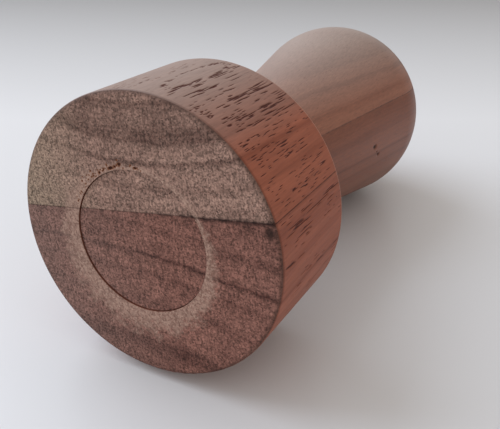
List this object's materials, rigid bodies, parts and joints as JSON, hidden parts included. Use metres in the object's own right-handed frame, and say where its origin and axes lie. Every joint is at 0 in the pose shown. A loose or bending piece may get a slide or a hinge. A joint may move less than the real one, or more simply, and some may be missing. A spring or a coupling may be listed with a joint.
{
  "type": "wooden tamper",
  "caption": "Turned walnut hand tamper: a round pressing head on a waisted handle with a rounded knob, glued up from laminated boards.",
  "frame": {"origin": "centre of the foot face, on the surface that the tamper stands on", "axes": "+Z along the turning axis from the foot face to the knob; the glue line between the boards is square to Y, with the pale board on the -Y side"},
  "size_m": [0.058, 0.058, 0.1173],
  "materials": {
    "pale_walnut": "oiled satin",
    "dark_walnut": "oiled satin"
  },
  "bodies": {
    "root": {"head_pale_board": "pale_walnut", "head_dark_board": "dark_walnut", "handle_pale_board": "pale_walnut", "handle_dark_board": "dark_walnut"}
  },
  "joints": []
}
